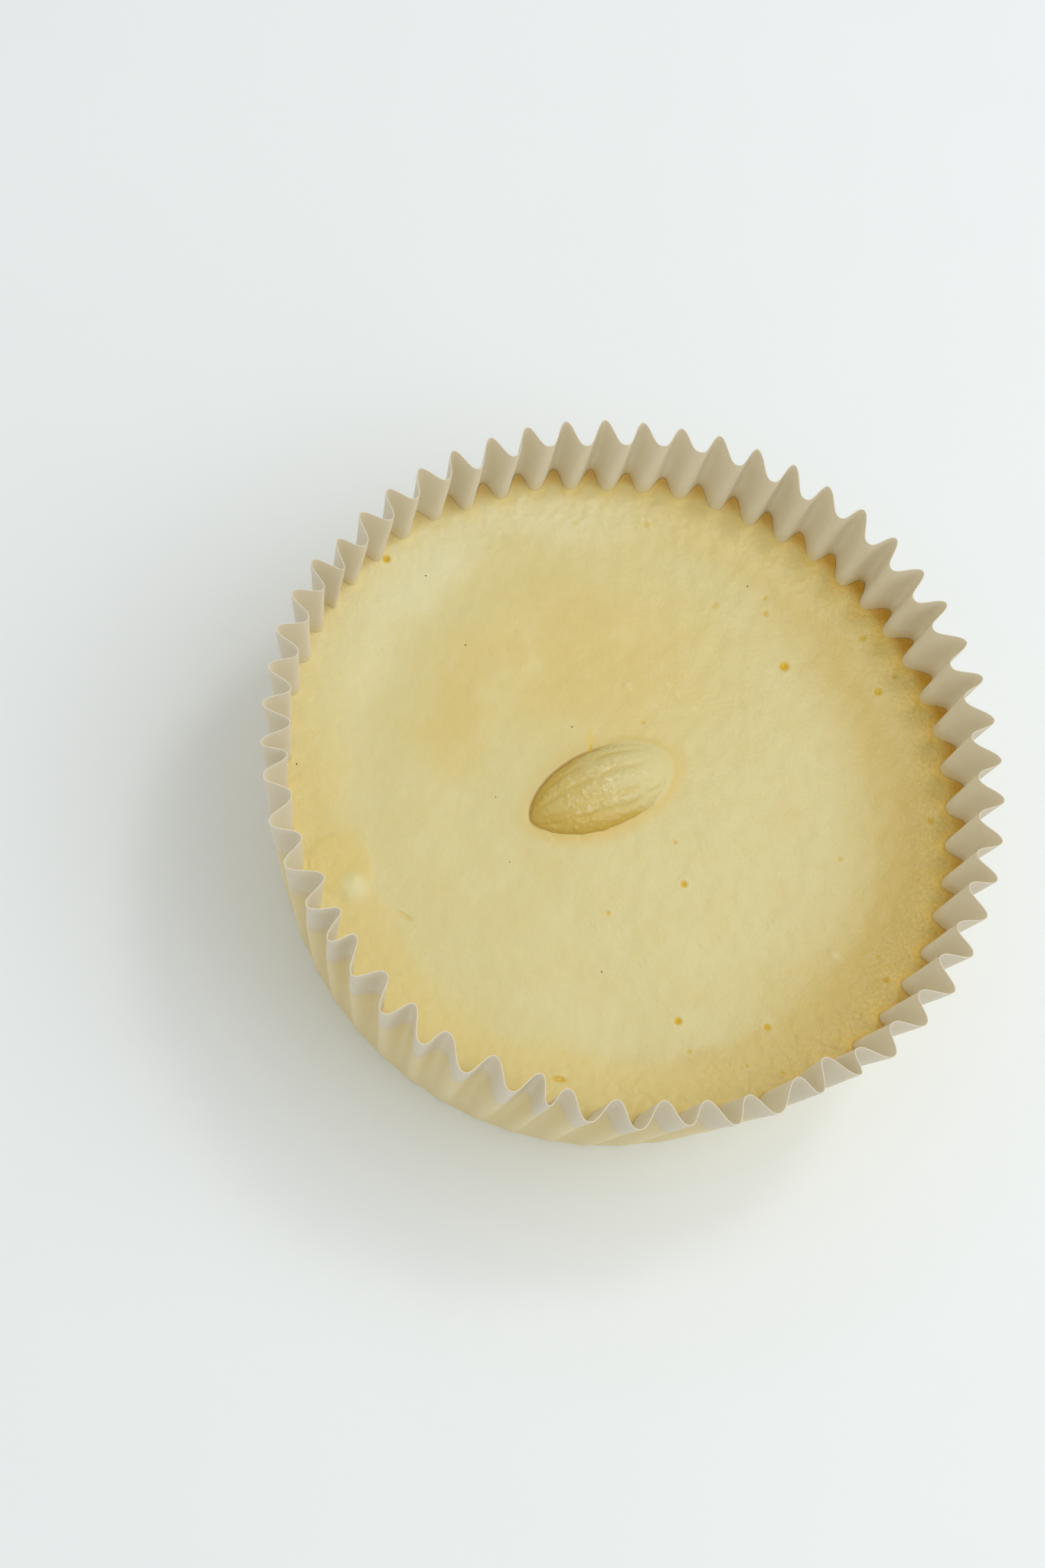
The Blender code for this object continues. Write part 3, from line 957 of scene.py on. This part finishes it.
# The crumbs' dark and pale specks are partly their own colour and partly painted shade and highlight on the
# fine grains.
crumbly = (right * 0.9 + 0.1) * finish.step(edge, 7.0, 1.5)
colour = finish.blend(colour, CRUMB_AND_SHADE, crumbly * finish.step(crumbs, 0.50, 0.70) * 0.25)
colour = finish.blend(colour, CRUMB_AND_HIGHLIGHT, crumbly * finish.step(crumbs, 0.50, 0.30) * 0.45)
# Painted contact shade: a thin darker line where the cream meets the paper, strongest on the right.
contact_shade = finish.step(edge, 0.5, 0.05) * (0.05 + 0.4 * towards(-5, 0.6, 0.95))
colour = finish.blend(colour, CONTACT_SHADE, contact_shade)
# Golden cream in the outer folds, with painted shade in these recesses on the top and right.
colour = finish.blend(colour, FOLD_SHADE, outside(true_radius, 54.4, 57.0) * (0.2 + 0.5 * top + 0.35 * right))
print("with the colours beside the paper", len(finish.tree.nodes), "nodes")

# %% Lay the colours beside the pod and the marks
colour = finish.blend(colour, PALE, pale)
from_pod = finish.vector("SUBTRACT", flat, (*POD_MIDDLE, 0))
pod_side = finish.vector("DOT_PRODUCT", from_pod, (*ACROSS, 0), out="Value")
pod_along = finish.vector("DOT_PRODUCT", from_pod, (*ALONG, 0), out="Value")
colour = finish.blend(colour, WARM, finish.step(beside, 3.5, 0.2) * 0.5)
lower_side = finish.step(pod_side, 0, -4 * MM)
colour = finish.blend(colour, PEACH, finish.step(beside, 2.6, 0.0) * lower_side * 0.5)
upper_side = finish.step(pod_side, -3 * MM, 1 * MM) * finish.step(pod_along, 9 * MM, -2 * MM)
# Painted shade in the crease along the pod's upper edge.
colour = finish.blend(colour, CREASE_SHADE, finish.step(beside, 0.45, 0.0) * upper_side * 0.9)
colour = finish.blend(colour, SMEAR, finish.patch(flat, -8.8, 5.0, 2.8, 1.4, -64, 0.0) * 0.6)
colour = finish.blend(colour, DROP, spot)
colour = finish.blend(colour, POD_END, lap)
print("with the pod and the marks", len(finish.tree.nodes), "nodes")

# %% Give the cream its skin
fine = finish.cloud(0.8, 3, flat)
window_side = finish.vector("DOT_PRODUCT", flat, (*WINDOW_WAY, 0), out="Value")
window_side = finish.step(window_side, -20 * MM, 35 * MM)
grainy = 0.25 + 0.25 * window_side + finish.step(edge, 8.0, 2.0) * (0.1 + 0.5 * right)
rough = 0.31 + 0.10 * finish.cloud(4, 2) + 0.05 * fine - 0.2 * spot - 0.08 * crumbly
shader = finish.food(colour, rough, finish.bump(fine * grainy, 0.20), (1.0, 0.6, 0.22))
finish.cover(shader, cream)

# %% [markdown]
# ## The pod's finish
#
# White chocolate is paler and greener than the cream, and shinier. Cream has run into the grooves and up the
# pod's foot, so both are yellower. The crease at the foot gets a line of painted shade, and pale flecks on the
# crest are painted glints.

# %% Finish the pod
POD_BODY, POD_TIP, POD_GROOVE = screen(206, 194, 134), screen(201, 172, 74), screen(204, 180, 94)
POD_FOOT, POD_CREASE_SHADE, POD_GLINT = screen(199, 170, 78), screen(176, 134, 40), screen(226, 222, 186)
finish = Finish("white chocolate pod")
groove, golden, ahead = [finish.mark(name) for name in ("groove", "golden", "ahead")]
colour = finish.blend(POD_BODY, POD_TIP, finish.step(ahead, 0.35, -0.55) * 0.60)
colour = finish.blend(colour, POD_GROOVE, groove * 0.6)
foot = finish.step(golden * (0.6 + 0.8 * finish.cloud(2.5, 3)), 0.10, 0.75) * 0.9
colour = finish.blend(colour, POD_FOOT, foot)
# Painted shade in the crease where the pod's foot meets the cream.
contact_shade = finish.step(golden, 0.92, 1.0) * finish.step(ahead, 0.1, -0.4) * 0.35
colour = finish.blend(colour, POD_CREASE_SHADE, contact_shade)
height = finish.node("ShaderNodeSeparateXYZ", {}, {"Vector": finish.place}, "Z")
# Painted glints: pale flecks on the crest stand in for small highlights.
painted_glints = finish.step(finish.cloud(1.0, 2), 0.50, 0.75) * finish.step(height, 29.6 * MM, 30.3 * MM)
colour = finish.blend(colour, POD_GLINT, painted_glints * 0.35)
colour = finish.blend(colour, POD_END, finish.step(ahead, 0.15, 0.65) * 0.9)
rough = 0.16 + 0.16 * finish.cloud(1.1, 2) + 0.16 * finish.step(ahead, 0.3, 0.75)
shader = finish.food(colour, rough, finish.bump(finish.cloud(0.5, 2), 0.06), (1.0, 0.7, 0.3))
finish.cover(shader, pod)

# %% [markdown]
# ## The paper's finish
#
# Baking paper is thin, smooth and matt, and lets some light through. Below the level of the cream it has
# soaked up butter and looks darker and warmer. Just above the cream a stronger gold is partly soaked butter
# and partly painted warm light bounced off the cream.

# %% Finish the paper
PAPER, OILED, BUTTERED_AND_BOUNCE = screen(239, 234, 218), screen(232, 216, 172), screen(228, 206, 132)
SPARED, FIBRE, GLOW = screen(236, 222, 176), screen(222, 212, 186), screen(243, 234, 212)
finish = Finish("baking paper")
height = finish.node("ShaderNodeSeparateXYZ", {}, {"Vector": finish.place}, "Z")
cloudy = finish.cloud(2.5, 3)
level = height + (cloudy - 0.5) * (3 * MM) + (finish.cloud(9, 2) - 0.5) * (4 * MM)
soaked = finish.step(level, 33.0 * MM, 27.0 * MM)
colour = finish.blend(PAPER, OILED, soaked * 0.8)
# Just above the cream: partly soaked butter, partly painted warm light bounced off the cream.
colour = finish.blend(colour, BUTTERED_AND_BOUNCE, finish.step(level, 32.0 * MM, 28.0 * MM) * 0.4)
colour = finish.blend(colour, SPARED, finish.step(cloudy, 0.5, 0.7) * soaked * 0.4)
fibres = finish.cloud(0.6, 4)
colour = finish.blend(colour, FIBRE, finish.step(fibres, 0.5, 0.9) * 0.3)
sockets = {
    "Base Color": colour, "Roughness": 0.5 + 0.15 * cloudy, "Normal": finish.bump(fibres, 0.03), "IOR": 1.45,
}
sheet = finish.node("ShaderNodeBsdfPrincipled", {}, sockets)
glow = finish.node("ShaderNodeBsdfTranslucent", {}, {"Color": GLOW})
thin = finish.step(level, 28.0 * MM, 32.0 * MM) * 0.32  # above the cream, light comes through
shader = finish.node("ShaderNodeMixShader", {}, {0: thin, 1: sheet, 2: glow})
finish.cover(shader, case)

# %% [markdown]
# ## The specks' finish
#
# Vanilla is nearly black and dull, so a plain dark mix with hardly any shine is enough.

# %% Finish the specks
DARK_VANILLA, BROWN_VANILLA = (0.03, 0.02, 0.008), (0.07, 0.045, 0.015)
finish = Finish("vanilla")
colour = finish.blend(DARK_VANILLA, BROWN_VANILLA, finish.cloud(0.1))
sockets = {"Base Color": colour, "Roughness": 0.8, "Specular IOR Level": 0.1}
finish.cover(finish.node("ShaderNodeBsdfPrincipled", {}, sockets), specks)

# %% [markdown]
# ## The table and the light
#
# The light is soft and comes from behind and to the right, as from a window, with a bright room all round.

# %% Set the table and the light
clear_selection()
bpy.ops.mesh.primitive_plane_add(size=14)
table = bpy.context.object
table.name = "table"
TABLE_PALE, TABLE_SHADE = (0.83, 0.87, 0.87), (0.81, 0.85, 0.85)
finish = Finish("pale table")
shade = finish.blend(TABLE_PALE, TABLE_SHADE, finish.cloud(40, 3))
finish.cover(finish.node("ShaderNodeBsdfPrincipled", {}, {"Base Color": shade, "Roughness": 0.6}), table)

# %% Hang the lights
TERRINE_MIDDLE = Vector((0, 0, 0.03))


def hang_light(name, place, size, power):
    """A soft square light that looks at the terrine."""
    bpy.ops.object.light_add(type="AREA", location=place)
    light = bpy.context.object
    light.name = light.data.name = name
    light.data.shape = "SQUARE"
    light.data.size = size
    light.data.energy = power
    light.rotation_euler = (TERRINE_MIDDLE - light.location).to_track_quat("-Z", "Y").to_euler()
    print(name, power, "watts")


hang_light("window", (0.50, 0.16, 0.75), 1.0, 3.5)
hang_light("lamp", (0.10, 0.34, 0.72), 0.12, 0.5)

room = bpy.data.worlds.new("room")
room.use_nodes = True
bright = room.node_tree.nodes["Background"].inputs
bright["Color"].default_value = (1.0, 1.0, 1.0, 1.0)
bright["Strength"].default_value = 0.69
bpy.context.scene.world = room
bpy.context.scene.view_settings.view_transform = "Standard"
